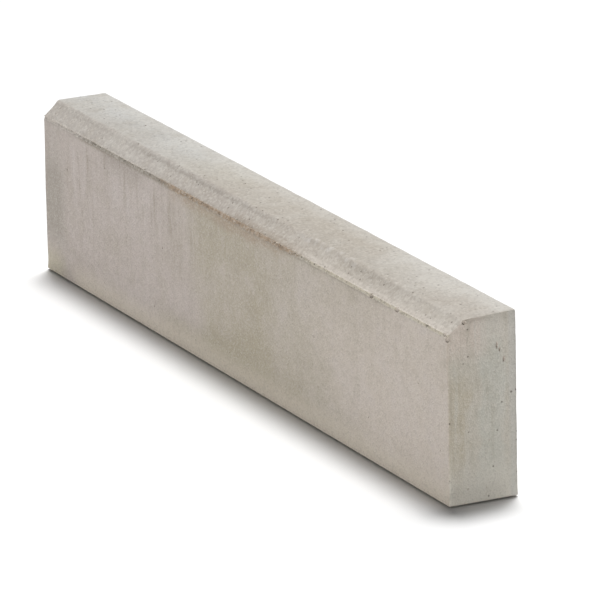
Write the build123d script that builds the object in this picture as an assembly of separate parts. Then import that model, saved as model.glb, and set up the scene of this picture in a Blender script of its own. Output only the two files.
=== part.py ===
from build123d import *
import os

# Concrete kerb stone, pressed in one piece and standing on its long narrow base.
#
# Frame: X runs along the stone, Y across it with the front face on the minus side, Z up.
# The origin is the middle of the base, on the ground. All sizes are in millimetres.
#
# The stone is pressed upright in an open mould. The mould's walls form its two long faces
# and its two ends, and a stamp that comes down from above forms the top face and the bevel
# along the front. The stamp's edge leaves three marks at the foot of the bevel: a narrow
# flat land, a thin lip in front of it, and under the lip a fine parting groove in the face.

# Overall size of the stone
stone_length = 1000.0
stone_width = 80.0
stone_height = 200.0

# Bevel along the top front edge: its reach across the top and down the front face
bevel_width = 18.0
bevel_height = 16.0
# How far the pressed bevel is hollow below the straight line between its edges
bevel_hollow = 1.5
# Flat land at the foot of the bevel
land_width = 2.2

# Parting groove in the front face, under the lip that the stamp's edge leaves
lip_thickness = 1.2
groove_height = 2.8
groove_depth = 1.6

# Softened arrises
base_arris_radius = 1.2
back_arris_radius = 2.5
bevel_arris_radius = 3.0
end_arris_radius = 1.6

# Places that follow from the sizes
front_y = -stone_width / 2
back_y = stone_width / 2
lip_z = stone_height - bevel_height
bevel_top_y = front_y + bevel_width
land_end_y = front_y + land_width


def stone_section():
    """Section across the stone, drawn on the YZ plane, without its parting groove."""
    base_front = (front_y, 0)
    base_back = (back_y, 0)
    top_back = (back_y, stone_height)
    bevel_top = (bevel_top_y, stone_height)
    bevel_foot = (land_end_y, lip_z)
    lip_edge = (front_y, lip_z)
    with BuildSketch(Plane.YZ) as section:
        with BuildLine():
            Polyline(lip_edge, base_front, base_back, top_back, bevel_top)
            SagittaArc(bevel_top, bevel_foot, bevel_hollow)
            Line(bevel_foot, lip_edge)
        make_face()
        corners = section.vertices()
        fillet(nearest(corners, [base_front, base_back]), base_arris_radius)
        corners = section.vertices()
        fillet(nearest(corners, [top_back]), back_arris_radius)
        corners = section.vertices()
        fillet(nearest(corners, [bevel_top]), bevel_arris_radius)
    return section.sketch


def nearest(corners, places):
    """The corner of the section that lies nearest to each (y, z) place."""
    return [corners.sort_by_distance(place)[0] for place in places]


def stone_block():
    """The section drawn out to the stone's length, with its end arrises softened."""
    block = extrude(stone_section(), amount=stone_length / 2, both=True)
    ends = block.faces().filter_by(Axis.X)
    return fillet(ends.edges(), end_arris_radius)


def parting_groove():
    """Wedge that cuts the groove: level under the lip, and running out down the face."""
    groove_top_z = lip_z - lip_thickness
    with BuildSketch(Plane.YZ) as wedge:
        with BuildLine():
            Polyline(
                (front_y, groove_top_z),
                (front_y + groove_depth, groove_top_z),
                (front_y, groove_top_z - groove_height),
                close=True,
            )
        make_face()
    return extrude(wedge.sketch, amount=stone_length / 2, both=True)


kerb_stone = stone_block() - parting_groove()

os.makedirs("parts", exist_ok=True)
export_step(kerb_stone, "parts/kerb_stone.step")
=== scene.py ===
# %% [markdown]
# # A pressed concrete kerb stone
#
# This lesson dresses one kerb stone, which is a single piece of concrete 1000 mm long,
# 80 mm wide and 200 mm high. It was pressed upright in an open steel mould. The mould's walls
# shaped its two long faces and its ends, and a stamp from above shaped its top and its bevel.
# The stone arrives here as a plain block with exact sizes. The lesson models its worn and
# pressed surface again as a finer mesh, and then gives it the finish of real concrete.
#
# The first cell loads the exact block. Its box gives the sizes that the finer stone keeps.

import math
import random

import bmesh
import bpy
from mathutils import Matrix, Vector


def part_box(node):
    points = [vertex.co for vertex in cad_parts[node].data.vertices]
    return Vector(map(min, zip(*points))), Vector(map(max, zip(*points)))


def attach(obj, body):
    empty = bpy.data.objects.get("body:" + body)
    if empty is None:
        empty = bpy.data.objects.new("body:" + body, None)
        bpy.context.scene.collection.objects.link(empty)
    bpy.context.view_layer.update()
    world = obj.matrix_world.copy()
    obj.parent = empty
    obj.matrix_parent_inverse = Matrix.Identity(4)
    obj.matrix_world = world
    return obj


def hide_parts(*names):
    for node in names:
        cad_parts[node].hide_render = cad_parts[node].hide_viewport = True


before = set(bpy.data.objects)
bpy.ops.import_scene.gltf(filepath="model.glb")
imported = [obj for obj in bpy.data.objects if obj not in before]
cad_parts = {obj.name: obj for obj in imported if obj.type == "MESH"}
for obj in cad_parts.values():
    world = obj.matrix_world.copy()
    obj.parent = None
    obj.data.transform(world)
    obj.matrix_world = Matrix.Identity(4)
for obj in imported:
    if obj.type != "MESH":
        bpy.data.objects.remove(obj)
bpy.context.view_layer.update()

MM = 0.001
low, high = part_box("kerb_stone")
length, width, height = high - low
print(f"stone {length / MM:.0f} x {width / MM:.0f} x {height / MM:.0f} mm")

# %% [markdown]
# ## The camera
#
# A photographer who wants a long stone to look straight stands far back with a long lens. The
# camera could be placed by its position and a target, but here it is placed the way it is
# thought of: how far round the stone it stands, how high, how far off, and how much it leans.
# Its own axes come first, because they are the columns of its rotation matrix.

# %% Camera
azimuth = math.radians(63.94)
elevation = math.radians(16.73)
lean = math.radians(-1.23)
distance = 6.884
lens = 380.0
sensor_width = 36.0
aim_right = 35.97 * MM
aim_up = -14.18 * MM

flat = math.cos(elevation)
back = Vector((math.sin(azimuth) * flat, -math.cos(azimuth) * flat, math.sin(elevation)))
level = Vector((math.cos(azimuth), math.sin(azimuth), 0))
upright = back.cross(level)
right = level * math.cos(lean) + upright * math.sin(lean)
up = upright * math.cos(lean) - level * math.sin(lean)
camera_data = bpy.data.cameras.new("camera")
camera_data.lens = lens
camera_data.sensor_width = sensor_width
camera = bpy.data.objects.new("camera", camera_data)
stone_middle = Vector((0, 0, height / 2))
camera.location = stone_middle + back * distance + right * aim_right + up * aim_up
camera.rotation_euler = Matrix((right, up, back)).transposed().to_euler()
bpy.context.scene.collection.objects.link(camera)
bpy.context.scene.camera = camera
print(f"camera at {tuple(round(v, 3) for v in camera.location)}, lens {lens} mm")

# %% [markdown]
# ## Light and floor
#
# The shadows tell where the light comes from. They are short, they lie in front of the stone
# and to its right, and they are dark only close to it. So the main light comes from high up, a
# little from behind and from the left. It takes two lamps, a narrow one for the shadow's dark
# core and a wide one for its soft tail. The front is still bright, so a third lamp stands
# almost level with the floor, where it lights upright faces and leaves the shadows dark.
#
# All three are suns, because a sun's light is the same over the whole floor. Each gets a
# direction of travel, which Blender turns into a rotation by tracking its -Z axis, and the level
# to which it lights a white face square to it. The surround is white where the camera looks at
# it and weaker where it lights the stone: a Light Path node makes that choice.

# %% World
world = bpy.data.worlds.new("studio_surround")
bpy.context.scene.world = world
world.use_nodes = True
world_nodes = world.node_tree.nodes
world_links = world.node_tree.links
world_nodes.clear()
WHITE = (1, 1, 1, 1)
fill_strength = 0.09
seen_strength = 1


def white_background(strength):
    """A white Background node of that strength."""
    made = world_nodes.new("ShaderNodeBackground")
    made.inputs["Color"].default_value = WHITE
    made.inputs["Strength"].default_value = strength
    return made


fill = white_background(fill_strength)
seen = white_background(seen_strength)
path = world_nodes.new("ShaderNodeLightPath")
choose = world_nodes.new("ShaderNodeMixShader")
world_out = world_nodes.new("ShaderNodeOutputWorld")
world_links.new(path.outputs["Is Camera Ray"], choose.inputs["Fac"])
world_links.new(fill.outputs["Background"], choose.inputs[1])
world_links.new(seen.outputs["Background"], choose.inputs[2])
world_links.new(choose.outputs["Shader"], world_out.inputs["Surface"])
print(f"the surround shows at {seen_strength} and lights the stone at {fill_strength}")

# %% Lamps
for name, travel, white_level, softness in (
    ("key_lamp", (0.20, -0.13, -1), 0.60, 14),
    ("wide_lamp", (0.23, -0.23, -1), 0.58, 24),
    ("front_lamp", (-0.62, 0.79, -0.03), 0.56, 6),
):
    data = bpy.data.lights.new(name, "SUN")
    data.energy = white_level * math.pi
    data.angle = math.radians(softness)
    lamp = bpy.data.objects.new(name, data)
    lamp.rotation_euler = Vector(travel).to_track_quat("-Z", "Y").to_euler()
    bpy.context.scene.collection.objects.link(lamp)
    print(f"{name}: {softness} degrees wide, a level of {white_level}")
bpy.context.scene.view_settings.view_transform = "Standard"

# %% [markdown]
# The stone stands on the high grains of its rough base, so a thin dark gap stays under it. The
# floor lies that much lower than the stone's base.

# %% White floor
floor_size = 60
floor_gap = 1.5 * MM
floor_white = (0.88, 0.88, 0.88, 1)
bpy.ops.object.select_all(action="DESELECT")
bpy.ops.mesh.primitive_plane_add(size=floor_size, location=(0, 0, -floor_gap))
floor = bpy.context.object
floor.name = "floor"
floor_material = bpy.data.materials.new("white_floor")
floor_material.use_nodes = True
floor_shader = floor_material.node_tree.nodes["Principled BSDF"]
floor_shader.inputs["Base Color"].default_value = floor_white
floor_shader.inputs["Roughness"].default_value = 1.0
floor_shader.inputs["Specular IOR Level"].default_value = 0.0
floor.data.materials.append(floor_material)
print(f"floor {floor_size} m wide, {floor_gap / MM:.1f} mm under the stone")

# %% [markdown]
# ## The stone's shape
#
# A block could be sculpted, but a pressed stone's straight runs are easier to model exactly. So
# a cube is set to the stone's size and shaped with a few edge operators: first the bevel, then
# the land at its foot, then the arrises, then the parting groove.
#
# Operators act on whatever is selected, so two small helpers keep that in hand. One makes an
# object the only selected one, and the other selects the parts of a mesh that pass a test.

# %% Selection helpers
PART_KINDS = ("VERT", "EDGE", "FACE")


def only(obj):
    """Makes obj the one selected and active object."""
    bpy.ops.object.select_all(action="DESELECT")
    obj.select_set(True)
    bpy.context.view_layer.objects.active = obj


def middle(edge):
    """The middle of an edge."""
    return (edge.verts[0].co + edge.verts[1].co) / 2


def pick(obj, kind, test):
    """In edit mode, selects only the parts of one kind that pass the test, and counts them."""
    bpy.context.tool_settings.mesh_select_mode = [kind == each for each in PART_KINDS]
    mesh = bmesh.from_edit_mesh(obj.data)
    parts = dict(zip(PART_KINDS, (mesh.verts, mesh.edges, mesh.faces)))
    for group in parts.values():
        for part in group:
            part.select = False
    picked = [part for part in parts[kind] if test(part)]
    for part in picked:
        part.select_set(True)
    mesh.select_flush_mode()
    bmesh.update_edit_mesh(obj.data)
    return len(picked)


def near(a, b, slack=0.05 * MM):
    """True where two places on an axis are the same, but for the slack."""
    return abs(a - b) < slack


# %% Block
front_y, back_y = low.y, high.y
left_x, right_x = low.x, high.x
top_z = high.z
bpy.ops.object.select_all(action="DESELECT")
bpy.ops.mesh.primitive_cube_add(size=1, location=stone_middle, scale=(length, width, height))
stone = bpy.context.object
stone.name = "pressed_kerb_stone"
bpy.ops.object.transform_apply(location=True, rotation=True, scale=True)
print(f"block of {len(stone.data.polygons)} faces")

# %% [markdown]
# ### The bevel
#
# The stamp's wedge leaves a bevel that is a little hollow. The Bevel operator makes it from
# the cube's top front edge. Its profile setting is the square of the place where the curve
# crosses the bevel's middle, so a straight face has 0.5 squared and a hollow one a little less.
# The bevel is wider than it is high, so its rows are then scaled towards the top. The first row
# above its foot is pressed down almost level: the narrow land that the stamp's blunt edge leaves.

# %% Bevel and land
bevel_width = 18 * MM
bevel_height = 16 * MM
bevel_hollow = 1.5 * MM
bevel_rows = 8
land_width = 2.2 * MM
land_rise = 0.25 * MM
margin = 0.1 * MM
lip_z = top_z - bevel_height
bevel_top_y = front_y + bevel_width

bpy.ops.object.mode_set(mode="EDIT")
pick(stone, "EDGE", lambda e: near(middle(e).y, front_y) and near(middle(e).z, top_z))
straight_middle = 0.5
hollow_middle = straight_middle - bevel_hollow / (bevel_width * math.sqrt(2))
bpy.ops.mesh.bevel(offset=bevel_width, segments=bevel_rows, profile=hollow_middle**2)
pick(stone, "VERT", lambda v: top_z - bevel_width - margin < v.co.z < top_z - margin)
bpy.ops.transform.resize(value=(1, 1, bevel_height / bevel_width), center_override=(0, 0, top_z))

mesh = bmesh.from_edit_mesh(stone.data)
row_heights = sorted({round(v.co.z, 6) for v in mesh.verts if v.co.z > lip_z + margin})
land_row_z = row_heights[0]
stamp_row_z = row_heights[-3]
land_row_y = next(v.co.y for v in mesh.verts if near(v.co.z, land_row_z))
pick(stone, "VERT", lambda v: near(v.co.z, land_row_z))
bpy.ops.transform.translate(
    value=(0, front_y + land_width - land_row_y, lip_z + land_rise - land_row_z)
)
print(f"bevel of {bevel_rows} rows, foot at {lip_z / MM:.1f} mm")

# %% [markdown]
# ### Softened arrises
#
# Fresh concrete doesn't hold a knife edge, so every long edge and both ends are rounded by a
# millimetre or two. The long edges come first, and the two end outlines then run round them.

# %% Arrises
base_arris = 1.2 * MM
back_arris = 2.5 * MM
bevel_arris = 2.6 * MM
end_arris = 1.6 * MM


def long_edge(y, z):
    """A test for the edge that runs along the stone at that place."""
    return lambda e: near(middle(e).y, y) and near(middle(e).z, z) and near(middle(e).x, 0)


pick(stone, "EDGE", lambda e: long_edge(front_y, 0)(e) or long_edge(back_y, 0)(e))
bpy.ops.mesh.bevel(offset=base_arris, segments=2)
pick(stone, "EDGE", long_edge(back_y, top_z))
bpy.ops.mesh.bevel(offset=back_arris, segments=3)
pick(stone, "EDGE", long_edge(bevel_top_y, top_z))
bpy.ops.mesh.bevel(offset=bevel_arris, segments=2)
ends = pick(
    stone,
    "EDGE",
    lambda e: near(abs(middle(e).x), right_x) and all(near(abs(v.co.x), right_x) for v in e.verts),
)
bpy.ops.mesh.bevel(offset=end_arris, segments=2)
print(f"end outlines of {ends // 2} edges each")

# %% [markdown]
# ### The parting groove
#
# Where the stamp met the mould wall, a fine groove runs under a thin lip at the bevel's foot.
# Cutting it out with another mesh would leave ragged faces, so the mesh is sliced level at
# the groove's top, root and bottom, and the row at the root is pushed into the stone. The end
# outlines share that row, so the groove shows on both ends as well.

# %% Groove
lip_thickness = 1.2 * MM
groove_height = 2.8 * MM
groove_depth = 1.6 * MM
root_drop = 0.3 * MM
groove_top = lip_z - lip_thickness
groove_root = groove_top - root_drop
groove_foot = groove_top - groove_height


def slice_at(place, normal):
    """Cuts the whole mesh with a plane, and leaves every face in place."""
    bpy.ops.mesh.select_all(action="SELECT")
    bpy.ops.mesh.bisect(plane_co=place, plane_no=normal)


for z in (groove_top, groove_root, groove_foot):
    slice_at((0, 0, z), (0, 0, 1))
pick(stone, "VERT", lambda v: near(v.co.z, groove_root) and v.co.y < front_y + end_arris + margin)
bpy.ops.transform.translate(value=(0, groove_depth, 0))
print(f"groove from {groove_foot / MM:.1f} to {groove_top / MM:.1f} mm, {groove_depth / MM:.1f} mm deep")

# %% [markdown]
# ### A mesh fine enough for wear
#
# Chips, ripples and air holes need vertices to move. Level slices cut the faces into rows,
# upright ones cut the top, the base and the ends, and Subdivide then cuts the long edges. The
# rows near the lip are finer, because that is where the eye looks for broken edges.

# %% Rows
row_pitch = 3.1 * MM
row_count = int(groove_foot // row_pitch)
for i in range(1, row_count):
    slice_at((0, 0, groove_foot * i / row_count), (0, 0, 1))
strip_count = int(width // row_pitch)
for i in range(1, strip_count):
    slice_at((0, front_y + width * i / strip_count, 0), (0, 1, 0))
print(f"{row_count} rows and {strip_count} strips of about {row_pitch / MM:.1f} mm")

# %% Columns
column_cuts = (99, 3)
longer_than_column = 5 * MM
longer_than_half = 1.5 * MM
lip_band_depth = 6 * MM
lip_band_low, lip_band_high = groove_foot - 1 * MM, lip_z + 6 * MM


def in_lip_band(edge):
    """True for an edge that runs along the stone near the lip."""
    a, b = (v.co for v in edge.verts)
    close = a.y < front_y + lip_band_depth and lip_band_low < a.z < lip_band_high
    return close and abs(a.x - b.x) > longer_than_half and near(a.y, b.y) and near(a.z, b.z)


for cuts in column_cuts:
    pick(stone, "EDGE", lambda e: abs(e.verts[0].co.x - e.verts[1].co.x) > longer_than_column)
    bpy.ops.mesh.subdivide(number_cuts=cuts)
lip_band = pick(stone, "EDGE", in_lip_band)
bpy.ops.mesh.subdivide(number_cuts=1)
bpy.ops.object.mode_set(mode="OBJECT")
print(f"{lip_band} edges refined near the lip, {len(stone.data.polygons)} faces in all")

# %% [markdown]
# ### Four kinds of surface
#
# The mould makes four kinds of surface on one stone: the tall walls, the two ends, the stamped
# top with its bevel, and the torn concrete in and under the lip. Each gets its own material
# later. The faces are sorted now, while the mesh is still exact enough to sort them by place.

# %% Sort the faces
SURFACES = ("wall", "end", "stamped top", "torn lip")
WALL, END, STAMPED, TORN = range(len(SURFACES))
facing_end = 0.7
facing_up = 0.35
groove_back_y = front_y + groove_depth + margin


def surface_of(face):
    """The kind of surface that a face of the exact mesh belongs to."""
    if abs(face.normal.x) > facing_end:
        return END
    if groove_foot < face.center.z < lip_z and face.center.y < groove_back_y:
        return TORN
    if face.normal.z > facing_up and face.center.z > lip_z:
        return STAMPED
    return WALL


def empty_slots(obj):
    """Gives an object one empty material slot for each kind of surface."""
    for _ in SURFACES:
        obj.data.materials.append(None)


kinds = [surface_of(face) for face in stone.data.polygons]
empty_slots(stone)
for face, kind in zip(stone.data.polygons, kinds):
    face.material_index = kind
for kind, surface in enumerate(SURFACES):
    print(f"{kinds.count(kind)} faces of the {surface}")

# %% [markdown]
# ## Wear
#
# Wear is made with the Displace modifier, which moves each vertex by the brightness of a
# texture, times the vertex's weight in a group. One helper builds a group from a rule about
# places, and another applies the modifier. All moves go into the stone, which is never larger
# than it was pressed.

# %% Wear helpers
def weigh(obj, name, weight):
    """Makes a vertex group from a rule about places, and returns its name."""
    group = obj.vertex_groups.new(name=name)
    count = 0
    for vertex in obj.data.vertices:
        value = weight(vertex.co)
        if value > 0:
            group.add([vertex.index], min(value, 1), "REPLACE")
            count += 1
    print(f"{name}: {count} vertices")
    return group.name


def lumps(name, size, contrast=1.0, brightness=1.0):
    """Clouds in lumps of about that size. More contrast and less brightness leave islands."""
    texture = bpy.data.textures.new(name, "CLOUDS")
    texture.noise_scale = size
    texture.contrast = contrast
    texture.intensity = brightness
    texture.use_clamp = True
    return texture


def wear(obj, group, direction, depth, texture=None):
    """Moves the group's vertices along a direction by depth, times the texture's brightness."""
    only(obj)
    modifier = obj.modifiers.new("wear", "DISPLACE")
    modifier.texture_coords = "LOCAL"
    modifier.texture = texture
    modifier.vertex_group = group
    modifier.direction = direction
    modifier.mid_level = 0
    modifier.strength = depth
    bpy.ops.object.modifier_apply(modifier=modifier.name)


def close_by(distance, reach):
    """Falls from 1 at no distance to 0 at reach."""
    return max(0, 1 - distance / reach)


def fade(value, start, end):
    """Goes smoothly from 0 at start to 1 at end."""
    t = min(max((value - start) / (end - start), 0), 1)
    return t * t * (3 - 2 * t)


# %% [markdown]
# ### The torn lip
#
# The stamp lifts away with the lip sticking to it, and it tears the concrete below. On this
# stone the tear is wide over the middle third, fine to the left, and hardly there on the right.
# One rule along the stone gives that, and two rows follow it: the groove's foot drops, and its
# root goes deeper. The lip's own edge frays over its whole length.

# %% Tear the lip
tear_from, tear_to, tear_fade = -150 * MM, 130 * MM, 60 * MM
left_tear, right_tear = 0.35, 0.15


def tear(x):
    """How strongly the lip is torn at a place along the stone, from 0 to 1."""
    quiet = left_tear + (right_tear - left_tear) * fade(x, tear_from, tear_to)
    inside = fade(x, tear_from - tear_fade, tear_from) * fade(x, tear_to + tear_fade, tear_to)
    return quiet + (1 - quiet) * inside


def in_row(co, *rows):
    """True on the front for a vertex of one of the rows at these heights."""
    return co.y < groove_back_y and any(near(co.z, row) for row in rows)


foot_drop = 2.6 * MM
root_depth = 1.4 * MM
fray_depth = 0.7 * MM
foot_row = weigh(stone, "groove_foot", lambda co: tear(co.x) * in_row(co, groove_foot))
root_row = weigh(stone, "groove_root", lambda co: tear(co.x) * in_row(co, groove_root))
lip_rows = weigh(stone, "lip_edge", lambda co: in_row(co, groove_top, lip_z))
torn_lumps = lumps("torn_lumps", 7 * MM, contrast=2.2, brightness=1.0)
frayed_lumps = lumps("frayed_lumps", 4 * MM, contrast=2.0, brightness=0.9)
wear(stone, foot_row, "Z", -foot_drop, torn_lumps)
wear(stone, root_row, "Y", root_depth, torn_lumps)
wear(stone, lip_rows, "Y", fray_depth, frayed_lumps)
print(f"lip torn between {tear_from / MM:.0f} and {tear_to / MM:.0f} mm")

# %% [markdown]
# ### The stamp's upper mark
#
# A faint broken line runs just under the bevel's upper arris, where the stamp's wedge joined
# its flat face. It is a shallow crease, pressed into the one row of vertices that lies there.

# %% Crease under the bevel's upper arris
crease_slack = 0.3 * MM
crease_depth = 0.35 * MM


def in_crease(co):
    """True on the bevel for the row in which the stamp's upper mark lies."""
    return near(co.z, stamp_row_z, crease_slack) and co.y < bevel_top_y


crease_lumps = lumps("crease_lumps", 22 * MM, contrast=3.0, brightness=0.9)
wear(stone, weigh(stone, "stamp_crease", in_crease), "NORMAL", -crease_depth, crease_lumps)

# %% [markdown]
# ### Rubbed and chipped arrises
#
# Stones rub on each other in the stack. That rounds every arris a little and unevenly, and a
# knock here and there takes off a chip. A vertex is near an arris where two of its distances to
# the stone's flat sides are small at once.

# %% Arris rule
bevel_slope = math.atan2(bevel_height, bevel_width)


def arris_distance(co):
    """How far a vertex is from the nearest arris: its second smallest distance to a side."""
    bevel_gap = (top_z - co.z) * math.cos(bevel_slope) + (co.y - bevel_top_y) * math.sin(bevel_slope)
    sides = sorted(
        (right_x - abs(co.x), co.y - front_y, back_y - co.y, top_z - co.z, co.z, abs(bevel_gap))
    )
    return sides[1]


# %% Rub and chip
rub_reach, rub_depth = 3.5 * MM, 0.45 * MM
chip_reach, chip_depth = 6 * MM, 0.8 * MM
base_from, base_to = 2 * MM, 10 * MM
end_zone, end_zone_fade = 5 * MM, 20 * MM
back_spared = 0.7


def handled(co):
    """The front and the ends take knocks, and the back, which the next stone covers, hardly any."""
    between_ends = fade(abs(co.x), right_x - end_zone, right_x - end_zone_fade)
    return 1 - back_spared * fade(co.y, 0, back_y) * between_ends


def on_arris(co, reach):
    """Weight on every arris but those of the base, on which the stone stands."""
    return fade(co.z, base_from, base_to) * close_by(arris_distance(co), reach)


rubbed = weigh(stone, "arris_rub", lambda co: on_arris(co, rub_reach))
chipped = weigh(stone, "arris_chip", lambda co: handled(co) * on_arris(co, chip_reach))
chip_lumps = lumps("chip_lumps", 30 * MM, contrast=3.5, brightness=0.4)
wear(stone, rubbed, "NORMAL", -rub_depth, lumps("rub_lumps", 18 * MM))
wear(stone, chipped, "NORMAL", -chip_depth, chip_lumps)

# %% [markdown]
# The far upper corner has taken the worst of it. Its upright arris is rubbed back over the
# upper half, and the corners of the bevel and the top are rounded off.

# %% Far corner
far_reach = 9 * MM
far_depth = 2.6 * MM
far_from, far_to = 90 * MM, 170 * MM


def far_corner(co):
    """Weight near the far end's outline, growing towards the top."""
    outline = close_by(co.x - left_x, far_reach) * close_by(arris_distance(co), far_reach)
    return outline * fade(co.z, far_from, far_to)


wear(stone, weigh(stone, "far_corner", far_corner), "X", far_depth)

# %% [markdown]
# At the near end the fresh concrete settled after pressing, so the top falls a little towards
# the bevel there, while the back arris keeps its height.

# %% Settled near end
settled_from = 300 * MM
settled_depth = 2.0 * MM
kept_strip = 6 * MM


def settled(co):
    """Weight that grows to the near end, from the back arris to the bevel, and up the bevel."""
    across = fade(co.y, back_y - kept_strip, bevel_top_y)
    return fade(co.x, settled_from, right_x) * across * fade(co.z, lip_z, top_z)


wear(stone, weigh(stone, "settled_end", settled), "Z", -settled_depth)

# %% [markdown]
# ### Ripples
#
# Neither the mould's walls nor the stamp are truly flat, and pressed concrete settles unevenly.
# Shallow ripples let light play over the faces. The base stays flat, so that the stone stands.

# %% Ripple the faces
flat_foot = 12 * MM
stamped_from, stamped_to = lip_z + 1 * MM, lip_z + 6 * MM
off_base = weigh(stone, "off_base", lambda co: fade(co.z, 0, flat_foot))
stamped_part = weigh(stone, "stamped_part", lambda co: fade(co.z, stamped_from, stamped_to))
for name, part, lump_size, ripple_depth in (
    ("wide_ripples", off_base, 75 * MM, 0.40 * MM),
    ("small_ripples", off_base, 11 * MM, 0.15 * MM),
    ("stamp_grain", stamped_part, 9 * MM, 0.25 * MM),
):
    wear(stone, part, "NORMAL", -ripple_depth, lumps(name, lump_size))

# %% [markdown]
# ### Air holes
#
# Air that the press could not drive out stays against the mould wall and leaves round holes of
# a few millimetres. They could be drawn in the material, but real ones have a rim and a shaded
# inside. So one lumpy ball is copied to every place, and a single Boolean cuts all the copies.

# %% One lumpy ball
ball_radius = 0.5
ball_dent = 0.3
ball_lump = 0.6
bpy.ops.object.select_all(action="DESELECT")
bpy.ops.mesh.primitive_ico_sphere_add(subdivisions=2, radius=ball_radius)
ball = bpy.context.object
ball.name = "air_ball"
whole_ball = weigh(ball, "whole_ball", lambda co: 1)
wear(ball, whole_ball, "NORMAL", -ball_dent, lumps("ball_lumps", ball_lump))
empty_slots(ball)
# The holes take the torn concrete, so their insides are dark partly as painted shade.
for face in ball.data.polygons:
    face.material_index = TORN


def copy_ball(place, size):
    """A copy of the ball, set at a place, with its size on each axis."""
    copy = ball.copy()
    copy.data = ball.data.copy()
    copy.location = place
    copy.scale = size
    bpy.context.scene.collection.objects.link(copy)
    return copy


# %% Holes that show in the photograph
SEEN_HOLES = [
    ((right_x, 17 * MM, 165 * MM), (5, 4.4, 11)),
    ((right_x, 20 * MM, 160 * MM), (4, 3, 7)),
    ((right_x, 25 * MM, 149 * MM), (5, 5, 9)),
    ((right_x, -18 * MM, 16 * MM), (4, 3, 3)),
    ((right_x, -20 * MM, 194 * MM), (6, 9, 6)),
    ((330 * MM, front_y + 1 * MM, groove_root - 1 * MM), (11, 8, 8)),
    ((388 * MM, front_y + 1 * MM, groove_root - 1 * MM), (11, 8, 8)),
    ((494 * MM, front_y + 0.5 * MM, groove_root), (10, 8, 7)),
    ((499 * MM, front_y + 1 * MM, groove_root - 4 * MM), (9, 8, 8)),
]
holes = [copy_ball(place, [side * MM for side in sizes]) for place, sizes in SEEN_HOLES]
print(f"{len(holes)} air holes placed by hand")

# %% Holes at random places
random.seed(7)
edge_room = 12 * MM
smallest, largest, usual = 1.4, 4.2, 1.8
deepest_sink = 0.3
shortest, tallest = 0.8, 1.4
HOLES_ON = {"front": 26, "back": 26, "left": 6, "right": 5, "top": 12}
for face, count in HOLES_ON.items():
    for i in range(count):
        size = random.triangular(smallest, largest, usual) * MM
        x = random.uniform(left_x + edge_room, right_x - edge_room)
        y = random.uniform(bevel_top_y + edge_room, back_y - edge_room)
        z = random.uniform(edge_room, groove_foot - edge_room)
        sink = random.uniform(0, deepest_sink) * size
        place = {
            "front": (x, front_y + sink, z),
            "back": (x, back_y - sink, z),
            "left": (left_x + sink, y, z),
            "right": (right_x - sink, y, z),
            "top": (x, y, top_z - sink),
        }[face]
        holes.append(copy_ball(place, (size, size, size * random.uniform(shortest, tallest))))
print(f"{len(holes)} air holes in all")

# %% Cut the holes
bpy.data.objects.remove(ball)
only(holes[0])
for hole in holes:
    hole.select_set(True)
bpy.ops.object.join()
cutter = bpy.context.object
only(stone)
cut = stone.modifiers.new("air_holes", "BOOLEAN")
cut.operation = "DIFFERENCE"
cut.solver = "EXACT"
cut.object = cutter
bpy.ops.object.modifier_apply(modifier=cut.name)
bpy.data.objects.remove(cutter)
inside = sum(face.material_index == TORN for face in stone.data.polygons)
print(f"{len(stone.data.polygons)} faces after the cut, {inside} of them torn or in holes")

# %% [markdown]
# Where a hole's rim passes close to a row of the mesh, the Boolean leaves slivers: vertices that
# nearly touch, and vertices that do nothing but split an edge. Two faces can then fold over each
# other. So what nearly touches is merged, and the vertices with only two edges are dissolved.

# %% Clean the cut
sliver = 0.005 * MM
bpy.ops.object.mode_set(mode="EDIT")
bpy.ops.mesh.select_all(action="SELECT")
bpy.ops.mesh.remove_doubles(threshold=sliver)
bpy.ops.mesh.dissolve_degenerate(threshold=sliver)
spare = pick(stone, "VERT", lambda v: len(v.link_edges) == 2)
bpy.ops.mesh.dissolve_verts()
bpy.ops.object.mode_set(mode="OBJECT")
print(f"{spare} spare vertices dissolved, {len(stone.data.polygons)} faces left")

# %% [markdown]
# ## Concrete
#
# Up close, pressed concrete is sand and fine gravel in grey cement, with pinholes between the
# grains. From a few steps away it is cloudy, because the cement dries unevenly. A photograph on
# a plane would show that too, but nodes give it at any scale and on every side of the stone.
#
# Five effects serve more than one surface, so each is a node group that is built once. A small
# class keeps the building short: it adds a node, fills its inputs by name or number, and links
# whatever comes from another node. The nodes measure in millimetres, so the edges that the
# tones keep to are put in millimetres first.

# %% Edges in millimetres
front_at, bevel_at, end_at, groove_at, lip_at, mark_at, top_at = (
    place / MM for place in (front_y, bevel_top_y, right_x, groove_foot, lip_z, stamp_row_z, top_z)
)
print(f"lip at {lip_at:.1f} mm, the stamp's upper mark at {mark_at:.1f} mm")


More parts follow.
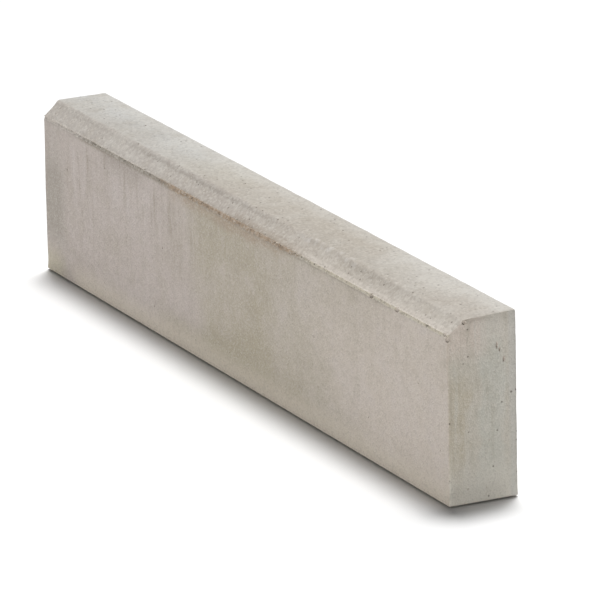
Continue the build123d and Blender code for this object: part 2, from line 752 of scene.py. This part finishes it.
# %% Node trees in few words
class Recipe:
    """A node tree that is filled in one line a node."""

    def __init__(self, tree):
        self.tree = tree

    def node(self, kind, inputs=None, **settings):
        """Adds a node with its settings, and sets or links each of its inputs."""
        made = self.tree.nodes.new(kind)
        for name, value in settings.items():
            setattr(made, name, value)
        self.fill(made, inputs or {})
        return made

    def fill(self, node, inputs):
        """Sets or links inputs of a node, by name or number. Three numbers are a colour."""
        for key, value in inputs.items():
            if isinstance(value, bpy.types.NodeSocket):
                self.tree.links.new(value, node.inputs[key])
            else:
                node.inputs[key].default_value = (*value, 1) if isinstance(value, tuple) else value

    def effect(self, group, **inputs):
        """Places a node group and gives back its outputs."""
        return self.node("ShaderNodeGroup", inputs, node_tree=group).outputs

    def math(self, operation, a, b=0.0):
        """One step of arithmetic."""
        return self.node("ShaderNodeMath", {0: a, 1: b}, operation=operation).outputs[0]

    def add(self, a, b):
        """The sum of two values."""
        return self.math("ADD", a, b)

    def product(self, *factors):
        """All the factors multiplied."""
        result = factors[0]
        for factor in factors[1:]:
            result = self.math("MULTIPLY", result, factor)
        return result

    def fade(self, value, start, end):
        """Goes smoothly from 0 at start to 1 at end."""
        limits = {"Value": value, "From Min": start, "From Max": end}
        return self.node("ShaderNodeMapRange", limits, interpolation_type="SMOOTHSTEP").outputs[0]

    def band(self, value, centre, half_width, soft):
        """1 within half_width of the centre, fading to 0 over soft beyond it."""
        away = self.math("ABSOLUTE", self.math("SUBTRACT", value, centre))
        return self.fade(away, half_width + soft, half_width)

    def spread(self, mask, least, most):
        """A mask that runs from least to most."""
        return self.add(self.product(mask, most - least), least)

    def mix(self, amount, a, b):
        """Blends colour b over colour a."""
        return self.node("ShaderNodeMix", {0: amount, 6: a, 7: b}, data_type="RGBA").outputs[2]

    def layers(self, colour, *layers):
        """Lays tones over a colour in turn. Each comes with its strength and its masks."""
        for tone, strength, *masks in layers:
            colour = self.mix(self.product(*masks, strength), colour, tone)
        return colour

    def noise(self, place, size, seed, detail=3.0):
        """Noise in lumps of about that size, mostly 0.3 to 0.7. The seed is a place on a fourth axis."""
        inputs = {"Vector": place, "W": seed, "Scale": 1 / size, "Detail": detail}
        return self.node("ShaderNodeTexNoise", inputs, noise_dimensions="4D").outputs[0]

    def cells(self, place, size):
        """Voronoi cells of about that size, each with a random colour."""
        scale = self.math("DIVIDE", 1.0, size)
        return self.node("ShaderNodeTexVoronoi", {"Vector": place, "Scale": scale}).outputs

    def channel(self, colour, number):
        """Red, green or blue of a colour, by its number."""
        return self.node("ShaderNodeSeparateColor", {"Color": colour}).outputs[number]

    def sway(self, place, size, seed, reach):
        """A slow move to and fro, by up to half the reach each way."""
        return self.product(self.math("SUBTRACT", self.noise(place, size, seed), 0.5), reach)

    def frayed(self, value, place, size, seed, reach):
        """A value moved by up to the reach, so that what ends there ends unevenly."""
        return self.add(value, self.product(self.noise(place, size, seed), reach))

    def axes(self, place):
        """The x, y and z of a place."""
        return self.node("ShaderNodeSeparateXYZ", {"Vector": place}).outputs


def new_group(name, inputs, outputs):
    """A node group with named sockets: its recipe, what it is given, and its output node."""
    group = bpy.data.node_groups.new(name, "ShaderNodeTree")
    for sockets, side in ((inputs, "INPUT"), (outputs, "OUTPUT")):
        for socket, kind in sockets.items():
            group.interface.new_socket(name=socket, in_out=side, socket_type="NodeSocket" + kind)
    recipe = Recipe(group)
    return recipe, recipe.node("NodeGroupInput").outputs, recipe.node("NodeGroupOutput")


def finish_group(recipe, sink, results):
    """Links the results to the group's outputs and gives back the group."""
    recipe.fill(sink, results)
    print(f"group {recipe.tree.name}: {len(recipe.tree.nodes)} nodes")
    return recipe.tree


# %% [markdown]
# ### Cement tone
#
# Three sizes of cloud make the cement's uneven grey: patches as wide as a hand, blots as wide
# as a finger, and flecks of a few millimetres. Each leans to a deep colour on one side and to a
# pale one on the other, so each material can say how its own cement varies.

# %% Cement tone group
recipe, given, sink = new_group(
    "cement_tone",
    {"Place": "Vector", "Body": "Color", "Pale": "Color", "Deep": "Color", "Strength": "Float"},
    {"Color": "Color"},
)
patches = recipe.noise(given["Place"], 90, 1300, detail=4)
blots = recipe.noise(given["Place"], 17, 4100)
flecks = recipe.noise(given["Place"], 4.5, 7700, detail=2)
tone = given["Body"]
for cloud, deep_from, deep_to, pale_from, pale_to in (
    (patches, 0.48, 0.34, 0.50, 0.64),
    (blots, 0.50, 0.68, 0.48, 0.30),
    (flecks, 0.56, 0.72, 0.44, 0.30),
):
    tone = recipe.layers(
        tone,
        (given["Deep"], given["Strength"], recipe.fade(cloud, deep_from, deep_to)),
        (given["Pale"], given["Strength"], recipe.fade(cloud, pale_from, pale_to)),
    )
cement_tone = finish_group(recipe, sink, {"Color": tone})

# %% [markdown]
# ### Sand grain
#
# A Voronoi texture splits space into cells of about one grain. Each cell's random colour tints
# its grain, and the distance to its middle makes the grain stand out of the cement. A finer
# noise stands for the paste between the grains.

# %% Sand grain group
recipe, given, sink = new_group(
    "sand_grain",
    {"Place": "Vector", "Size": "Float", "Color": "Color", "Contrast": "Float"},
    {"Color": "Color", "Height": "Float"},
)
pale_sand = (0.66, 0.63, 0.57)
dark_sand = (0.2, 0.18, 0.155)
grains = recipe.cells(given["Place"], given["Size"])
shade = recipe.channel(grains["Color"], 0)
tint = recipe.layers(
    given["Color"],
    (pale_sand, given["Contrast"], recipe.fade(shade, 0.60, 1.0)),
    (dark_sand, given["Contrast"], recipe.fade(shade, 0.40, 0.0)),
)
bulge = recipe.fade(grains["Distance"], 0.9, 0.1)
paste = recipe.noise(given["Place"], 2.5, 3400, detail=5)
grain_height = recipe.product(recipe.add(bulge, paste), 0.5)
sand_grain = finish_group(recipe, sink, {"Color": tint, "Height": grain_height})

# %% [markdown]
# ### Pinholes
#
# Pinholes are too small and too many to cut. Voronoi cells give one possible hole each, and the
# cell's random colour decides whether the hole is there.

# %% Pinhole group
recipe, given, sink = new_group(
    "pinholes", {"Place": "Vector", "Spacing": "Float", "Share": "Float"}, {"Mask": "Float"}
)
hole_rim, hole_floor = 0.26, 0.14
cells = recipe.cells(given["Place"], given["Spacing"])
present = recipe.math("LESS_THAN", recipe.channel(cells["Color"], 1), given["Share"])
hole = recipe.product(recipe.fade(cells["Distance"], hole_rim, hole_floor), present)
pinholes = finish_group(recipe, sink, {"Mask": hole})

# %% [markdown]
# ### Drag marks
#
# A mould wall leaves fine upright marks when the fresh stone slides out of it. Noise comes in
# round lumps, but it turns into such marks when the place is measured in tall, narrow lumps.

# %% Drag mark group
recipe, given, sink = new_group(
    "drag_marks",
    {"Place": "Vector", "Width": "Float", "Length": "Float", "Seed": "Float"},
    {"Marks": "Float"},
)
lump_sides = {"X": given["Width"], "Y": given["Width"], "Z": given["Length"]}
lump = recipe.node("ShaderNodeCombineXYZ", lump_sides).outputs[0]
in_lumps = recipe.node("ShaderNodeVectorMath", {0: given["Place"], 1: lump}, operation="DIVIDE")
marks = recipe.noise(in_lumps.outputs[0], 1.0, given["Seed"])
drag_marks = finish_group(recipe, sink, {"Marks": marks})

# %% [markdown]
# ### Painted arris shade
#
# The upright arrises of the near end are painted a little darker. This is painted shade, which
# tones down the bright line that the lamps leave along them. The wall and the end meet at such an
# arris, so both take its tone from one group.

# %% Painted arris shade group
recipe, given, sink = new_group("painted_arris_shade", {"Mask": "Float", "Color": "Color"}, {"Color": "Color"})
# Painted shade: a darker tone over the cement beside the arris.
arris_shade_colour = (0.32, 0.272, 0.22)
arris_shaded = recipe.layers(given["Color"], (arris_shade_colour, 0.35, given["Mask"]))
painted_arris_shade = finish_group(recipe, sink, {"Color": arris_shaded})

# %% [markdown]
# ### One stone, four surfaces
#
# Every surface ends in the same way, with sand grain over its cement, darker pinholes, the
# roughness of chalk and a fine bump. That ending is one function, and before it comes each
# surface's own colouring.

# %% Shared ending
hole_shade = (0.16, 0.14, 0.115)
hole_darkness = 0.75
hole_spacing = 5.5
hole_depth = 1.6
paste_roughness, grain_roughness = 0.97, 0.84
shine = 0.35


def concrete_material(name, colour_of, grain_size, contrast, hole_share, relief):
    """A concrete material. colour_of gives the cement's colour at a place, in millimetres."""
    material = bpy.data.materials.new(name)
    material.use_nodes = True
    own = Recipe(material.node_tree)
    shader = material.node_tree.nodes["Principled BSDF"]
    metres = own.node("ShaderNodeTexCoord").outputs["Object"]
    place = own.node("ShaderNodeVectorMath", {0: metres, "Scale": 1 / MM}, operation="SCALE").outputs[0]
    colour = colour_of(own, place)
    grain = own.effect(sand_grain, Place=place, Size=grain_size, Color=colour, Contrast=contrast)
    hole = own.effect(pinholes, Place=place, Spacing=hole_spacing, Share=hole_share)["Mask"]
    limits = {"Value": grain["Height"], "To Min": paste_roughness, "To Max": grain_roughness}
    rough = own.node("ShaderNodeMapRange", limits)
    hollow = own.math("SUBTRACT", grain["Height"], own.product(hole, hole_depth))
    bump = own.node("ShaderNodeBump", {"Height": hollow, "Distance": relief * MM})
    own.fill(
        shader,
        {
            "Base Color": own.layers(grain["Color"], (hole_shade, hole_darkness, hole)),
            "Roughness": rough.outputs[0],
            "Normal": bump.outputs["Normal"],
            "Specular IOR Level": shine,
        },
    )
    return material


# %% [markdown]
# ### The tall walls
#
# Along the front the cement changes slowly: mauve grey at the far end, olive grey low in the
# middle, and paler and rosier at the near end. A long colour ramp could show that, but named
# tones laid over each other are easier to follow. Each has a mask for its place, and the masks
# along the stone sway, because cement never changes at a straight line. The drag marks are
# clearest at the far end and towards the top.

# %% Cement of the walls
def wall_cement(own, place, along, sway):
    """The slow change from the far end to the near one, with upright marks over it."""
    middle_grey = (0.433, 0.39, 0.33)
    mauve_grey = (0.45, 0.398, 0.366)
    rosy_grey = (0.5, 0.446, 0.393)
    olive_grey = (0.375, 0.335, 0.258)
    pale_cloud = (0.515, 0.465, 0.445)
    deep_cloud = (0.34, 0.302, 0.24)
    scraped = (0.33, 0.287, 0.24)
    smeared = (0.5, 0.455, 0.43)
    _, _, z = own.axes(place)
    low_down = own.spread(own.fade(own.add(z, sway), 170, 60), 0.6, 1.0)
    colour = own.layers(
        middle_grey,
        (mauve_grey, 1, own.fade(along, -50, -200)),
        (rosy_grey, 1, own.fade(along, 180, 380)),
        (olive_grey, 1, own.band(along, 15, 50, 120), low_down),
    )
    clouded = own.effect(
        cement_tone, Place=place, Body=colour, Pale=pale_cloud, Deep=deep_cloud, Strength=0.22
    )["Color"]
    marks = own.effect(drag_marks, Place=place, Width=9, Length=70, Seed=5.5)["Marks"]
    at_far_end = own.spread(own.fade(along, -50, -200), 0.25, 1.0)
    high_up = own.spread(own.fade(z, 60, 150), 0.3, 1.0)
    return own.layers(
        clouded,
        (scraped, 0.7, own.fade(marks, 0.50, 0.70), at_far_end, high_up),
        (smeared, 0.55, own.fade(marks, 0.48, 0.30), at_far_end, high_up),
    )


# %% [markdown]
# Under the torn stretch of the lip, brown paste has run a little way down the face. Close under
# the lip the face is darker, partly damp and partly painted shade under the lip. The back has no
# lip, so these are held to the front. Beside the far arris is a darker strip, olive at its foot.
# The foot of the wall is painted paler, apart from the far end. This is painted light against the
# shade that the shadowed floor leaves low on the wall. The foot also has an olive patch.

# %% Edges of the walls
def wall_edges(own, place, colour, along):
    """Paste, damp and painted shade under the lip, the darker strip by the far arris, and the wall's
    foot, paler by painted light.
    """
    paste_brown = (0.345, 0.265, 0.195)
    under_lip_damp_and_shade = (0.31, 0.268, 0.222)
    damp_spot = (0.3, 0.262, 0.228)
    strip_grey = (0.35, 0.316, 0.278)
    strip_olive = (0.44, 0.405, 0.29)
    patch_olive = (0.37, 0.33, 0.252)
    foot_painted_light = (0.59, 0.532, 0.448)
    x, y, z = own.axes(place)
    at_front = own.fade(y, front_at + 8, front_at + 4)
    run_height = own.frayed(z, place, 24, 6100, reach=30)
    two_steps = own.product(own.add(own.fade(x, 200, 100), own.fade(x, 400, 340)), 0.5)
    close_under = own.fade(z, groove_at - 6, groove_at)
    edge = own.frayed(x, place, 30, 7700, reach=30)
    below_top = own.spread(own.fade(z, 155, 115), 0.3, 0.9)
    return own.layers(
        colour,
        (paste_brown, 0.65, own.fade(run_height, 176, 196), own.band(along, 0, 130, 50), at_front),
        # Damp and painted shade close under the lip.
        (under_lip_damp_and_shade, 0.85, close_under, two_steps, own.fade(x, -450, -360), at_front),
        (damp_spot, 0.5, own.band(x, -285, 30, 50), own.fade(z, 148, 178), at_front),
        (strip_grey, 1, own.fade(edge, -415, -450), own.fade(z, 20, 60), below_top),
        (strip_olive, 0.6, own.fade(edge, -420, -460), own.fade(z, 40, 12)),
        (patch_olive, 0.6, own.band(x, -40, 100, 80), own.fade(z, 45, 20)),
        # Painted light: a paler foot against the shade that the shadowed floor leaves there.
        (foot_painted_light, 0.85, own.fade(z, 36, 2), own.fade(x, -450, -400)),
    )


# %% Wall
def wall_colour(own, place):
    """Cement of the front, the back and the base, with painted shade along the near end's arris."""
    x, _, _ = own.axes(place)
    sway = own.sway(place, 200, 2200, reach=400)
    along = own.add(x, sway)
    colour = wall_edges(own, place, wall_cement(own, place, along, sway), along)
    # Painted shade along the near end's upright arris.
    near_arris = own.fade(x, end_at - 4, end_at - 1)
    return own.effect(painted_arris_shade, Mask=near_arris, Color=colour)["Color"]


# %% [markdown]
# ### The ends
#
# An end is a narrow mould wall. Next to its front arris the cement is olive brown, beyond that
# a greener grey band runs from top to foot, and near the top it is rosier. It has finer drag
# marks and a foot painted paler as painted light against the shade there. It also has a thin dark
# line of painted shade under the top, and a cooler strip along the back arris.

# %% Broad tones of the ends
def end_cement(own, place, across):
    """Upright bands of cement, with a rosier top."""
    end_grey = (0.472, 0.439, 0.379)
    green_grey = (0.455, 0.447, 0.397)
    olive_brown = (0.425, 0.378, 0.295)
    rosy_grey = (0.53, 0.462, 0.405)
    pale_grey = (0.52, 0.482, 0.425)
    pale_cloud = (0.545, 0.51, 0.46)
    deep_cloud = (0.375, 0.345, 0.275)
    _, y, z = own.axes(place)
    colour = own.layers(
        end_grey,
        (green_grey, 0.8, own.band(across, 10, 10, 12)),
        (olive_brown, 0.8, own.band(across, -33, 6, 10), own.fade(z, 150, 120)),
        (rosy_grey, 0.9, own.fade(z, 145, 170), own.fade(y, 15, -5)),
        (pale_grey, 0.8, own.fade(z, 160, 180), own.fade(y, -5, 15)),
    )
    return own.effect(
        cement_tone, Place=place, Body=colour, Pale=pale_cloud, Deep=deep_cloud, Strength=0.20
    )["Color"]


# %% End
def end_colour(own, place):
    """Cement of the two ends, with painted light at the foot and painted shade under the top and by the
    front arris.
    """
    scraped = (0.36, 0.328, 0.268)
    smeared = (0.52, 0.51, 0.465)
    foot_painted_light = (0.548, 0.52, 0.458)
    lowest_painted_light = (0.68, 0.645, 0.57)
    under_top_painted_shade = (0.31, 0.27, 0.222)
    cool_grey = (0.462, 0.458, 0.436)
    _, y, z = own.axes(place)
    sway = own.sway(place, 40, 8200, reach=50)
    marks = own.effect(drag_marks, Place=place, Width=6, Length=60, Seed=3.5)["Marks"]
    line_height = own.add(z, own.product(sway, 0.1))
    toward_bevel = own.spread(own.fade(y, 10, -15), 0.12, 0.47)
    colour = own.layers(
        end_cement(own, place, own.add(y, sway)),
        (scraped, 0.45, own.fade(marks, 0.50, 0.68)),
        (smeared, 0.35, own.fade(marks, 0.46, 0.30)),
        # Painted light: the end's foot is paler, most of all at the very bottom, against the shade
        # there.
        (foot_painted_light, 0.8, own.fade(z, 55, 15)),
        (lowest_painted_light, 0.8, own.fade(z, 16, 1)),
        # Painted shade: a thin dark line under the end's top arris.
        (under_top_painted_shade, 1, own.fade(line_height, 191.5, 196), toward_bevel),
        (cool_grey, 0.5, own.fade(y, 28, 34)),
    )
    # Painted shade on the end, beside its front arris.
    front_arris = own.product(own.fade(y, front_at + 5, front_at + 2), own.fade(z, 50, 80), 0.8)
    return own.effect(painted_arris_shade, Mask=front_arris, Color=colour)["Color"]


# %% [markdown]
# ### The stamped top and bevel
#
# The stamp presses the driest concrete, so the top is paler and shows more grain. It is a cool
# grey at the far end, with a darker patch in it, then warmer, then rosy, and pale at the near
# end. Beside the bevel it is darker and at the back paler. The bevel is painted darker than the
# top. This is painted shade, because the lamps light the bevel more brightly than its tone should show.

# %% Broad tones of the top and the bevel
def stamped_cement(own, place, along, on_bevel):
    """The tones along the stone and across it."""
    warm_grey = (0.47, 0.44, 0.386)
    cool_grey = (0.502, 0.498, 0.48)
    patch_grey = (0.42, 0.408, 0.386)
    rosy_grey = (0.418, 0.378, 0.328)
    pale_grey = (0.51, 0.485, 0.445)
    bevel_side = (0.385, 0.352, 0.31)
    back_side = (0.575, 0.56, 0.525)
    far_bevel_painted_shade = (0.358, 0.323, 0.292)
    near_bevel_painted_shade = (0.405, 0.366, 0.322)
    pale_cloud = (0.545, 0.525, 0.485)
    deep_cloud = (0.37, 0.33, 0.275)
    x, y, _ = own.axes(place)
    colour = own.layers(
        warm_grey,
        (cool_grey, 1, own.fade(along, -50, -300)),
        (patch_grey, 0.9, own.band(x, -325, 30, 45)),
        (rosy_grey, 0.8, own.band(along, 130, 170, 80)),
        (pale_grey, 0.9, own.fade(x, 235, 285)),
        (bevel_side, 0.42, own.fade(y, 16, -14)),
        (back_side, 0.5, own.fade(y, 10, 34)),
        # Painted shade: the bevel is darker than the top.
        (own.mix(own.fade(along, -100, 200), far_bevel_painted_shade, near_bevel_painted_shade), 0.75, on_bevel),
    )
    return own.effect(
        cement_tone, Place=place, Body=colour, Pale=pale_cloud, Deep=deep_cloud, Strength=0.22
    )["Color"]


# %% [markdown]
# On the bevel, a pale strip lies over the lip. It is a painted highlight where the land at the
# bevel's foot catches the light. The upper mark is a thin, broken line of painted shade in the
# crease, with a smear of dark paste and a few specks of lime towards the near end. Damp from the
# torn lip has seeped up the bevel's foot. The land over the lip is dark brown, partly a stain and
# partly painted shade of the dark line along the lip. The stain and shade follow the depth and
# not the height, because the land is nearly level.

# %% Traces and stains
def bevel_traces(own, place, colour, along, on_bevel):
    """The painted highlight over the lip, the upper mark's painted shade, its smear, the specks of lime,
    and the damp stains with painted shade on the land.
    """
    land_painted_highlight = (0.52, 0.475, 0.425)
    mark_painted_shade = (0.25, 0.228, 0.2)
    dark_smear = (0.3, 0.27, 0.232)
    lime = (0.62, 0.6, 0.58)
    seep_brown = (0.255, 0.205, 0.155)
    land_stain_and_shade = (0.215, 0.168, 0.125)
    x, y, z = own.axes(place)
    breaks = own.product(own.noise(place, 26, 5900), own.noise(place, 7, 1900), 2.4)
    mark_along = own.spread(own.band(along, -100, 140, 80), 0.3, 1.0)
    specks = own.product(own.fade(own.noise(place, 11, 3300), 0.46, 0.64), own.band(x, 200, 50, 30))
    edge = own.frayed(y, place, 5, 6800, reach=2)
    by_lip = own.fade(edge, front_at + 4.5, front_at + 0.8)
    stain_along = own.product(own.spread(own.band(x, 0, 150, 60), 0.25, 0.90), own.fade(x, 300, 140))
    return own.layers(
        colour,
        # Painted highlight: the pale strip over the lip.
        (land_painted_highlight, 0.65, own.band(z, lip_at + 1, 1, 2), own.fade(along, 60, 160), on_bevel),
        # Painted shade along the crease of the upper mark.
        (mark_painted_shade, 0.6, own.band(z, mark_at, 0.5, 2), on_bevel, breaks, mark_along),
        (dark_smear, 0.7, own.band(x, 310, 40, 50), own.band(z, top_at - 6, 1, 4), breaks),
        (lime, 0.4, specks, own.band(y, bevel_at - 1, 2, 3)),
        (seep_brown, 0.45, own.band(x, 75, 55, 50), own.fade(z, lip_at + 6.5, lip_at + 1), on_bevel),
        # Partly a stain and partly painted shade: the dark land over the lip.
        (land_stain_and_shade, 1, by_lip, stain_along, own.fade(z, lip_at + 3, lip_at + 1)),
    )


# %% Stamped top
def stamped_colour(own, place):
    """Cement of the top and the bevel."""
    x, _, z = own.axes(place)
    along = own.add(x, own.sway(place, 130, 9400, reach=350))
    on_bevel = own.fade(z, top_at - 0.3, top_at - 1.5)
    colour = stamped_cement(own, place, along, on_bevel)
    return bevel_traces(own, place, colour, along, on_bevel)


# %% [markdown]
# ### The torn lip
#
# Torn concrete shows its inside: damp paste between broken grains. Its dark grey is partly that
# and partly painted shade, which darkens the groove under the lip and the air holes. It is
# browner where the tear is widest, and pale near both ends.

# %% Torn lip
def torn_colour_and_shade(own, place):
    """Cement in the groove, on the lip's broken edge and in the air holes, dark partly as painted shade.
    """
    # Painted shade in part: this dark grey darkens the groove and the insides of the air holes.
    broken_grey_and_shade = (0.35, 0.314, 0.268)
    pale_cloud = (0.44, 0.4, 0.345)
    deep_cloud = (0.255, 0.223, 0.185)
    damp_brown = (0.45, 0.332, 0.232)
    far_lip = (0.56, 0.515, 0.47)
    near_lip = (0.62, 0.568, 0.465)
    x, _, _ = own.axes(place)
    along = own.add(x, own.sway(place, 30, 4400, reach=150))
    clouded = own.effect(
        cement_tone, Place=place, Body=broken_grey_and_shade, Pale=pale_cloud, Deep=deep_cloud, Strength=0.6
    )["Color"]
    return own.layers(
        clouded,
        (damp_brown, 0.7, own.band(along, -10, 140, 50)),
        (far_lip, 0.85, own.fade(along, -340, -420)),
        (near_lip, 0.85, own.fade(along, 130, 220)),
    )


# %% [markdown]
# ### From kinds of face to finishes
#
# Each kind of face gets its material by its number. What the stamp pressed and what tore has
# coarser grain than the walls, and the torn lip has the most contrast and the deepest relief.
# Faces that meet at a small angle are shaded as one curve.

# %% Give each kind of face its surface
smooth_below = math.radians(35)
for kind, name, colour_of, grain_size, contrast, hole_share, relief in (
    (WALL, "wall_concrete", wall_colour, 1.8, 0.20, 0.12, 0.30),
    (END, "end_concrete", end_colour, 1.8, 0.20, 0.08, 0.30),
    (STAMPED, "stamped_concrete", stamped_colour, 2.4, 0.22, 0.12, 0.30),
    (TORN, "torn_and_shaded_concrete", torn_colour_and_shade, 2.4, 0.45, 0.40, 0.60),
):
    material = concrete_material(name, colour_of, grain_size, contrast, hole_share, relief)
    stone.data.materials[kind] = material
    print(f"{name} on the {SURFACES[kind]}: {len(material.node_tree.nodes)} nodes")
only(stone)
bpy.ops.object.shade_smooth_by_angle(angle=smooth_below)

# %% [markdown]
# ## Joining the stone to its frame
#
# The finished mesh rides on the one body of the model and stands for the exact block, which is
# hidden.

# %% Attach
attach(stone, "root")
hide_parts("kerb_stone")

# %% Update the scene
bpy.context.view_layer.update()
